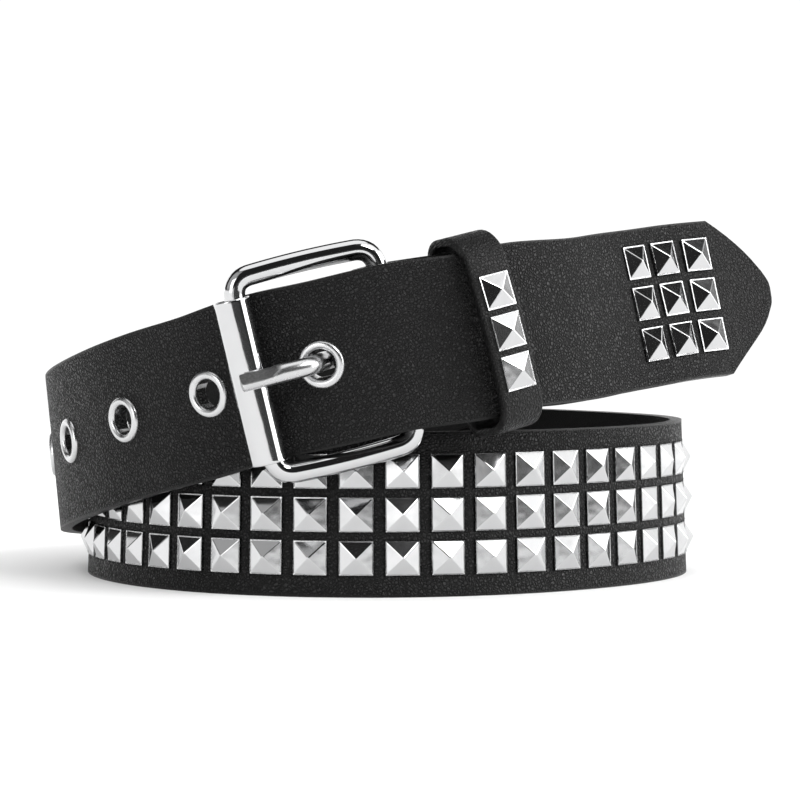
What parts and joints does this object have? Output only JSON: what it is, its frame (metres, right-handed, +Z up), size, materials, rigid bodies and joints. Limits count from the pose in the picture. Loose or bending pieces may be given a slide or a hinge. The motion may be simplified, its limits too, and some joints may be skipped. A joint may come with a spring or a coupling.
{
  "type": "studded belt",
  "caption": "Black leather belt with rows of chrome pyramid studs, buckled and wound into a double coil that stands on its lower turn.",
  "frame": {"origin": "centre of the footprint's bounding box, on the floor", "axes": "+Z up; -Y is the front, where the buckle and its loop sit; +X is to the right, towards the strap's pointed end"},
  "size_m": [0.179, 0.1814, 0.0868],
  "materials": {
    "leather": "black, finely grained, with a low sheen",
    "chrome": "bright nickel-chrome plating"
  },
  "bodies": {
    "root": {"strap": "leather", "tip_stud_1": "chrome", "tip_stud_2": "chrome", "tip_stud_3": "chrome", "tip_stud_4": "chrome", "tip_stud_5": "chrome", "tip_stud_6": "chrome", "tip_stud_7": "chrome", "tip_stud_8": "chrome", "tip_stud_9": "chrome", "eyelet_1": "chrome", "eyelet_2": "chrome", "eyelet_3": "chrome", "eyelet_4": "chrome", "eyelet_5": "chrome", "eyelet_6": "chrome", "eyelet_7": "chrome", "eyelet_8": "chrome", "buckle_frame": "chrome", "roller": "chrome", "prong": "chrome", "keeper": "leather", "keeper_stud_1": "chrome", "keeper_stud_2": "chrome", "keeper_stud_3": "chrome"}
  },
  "joints": []
}
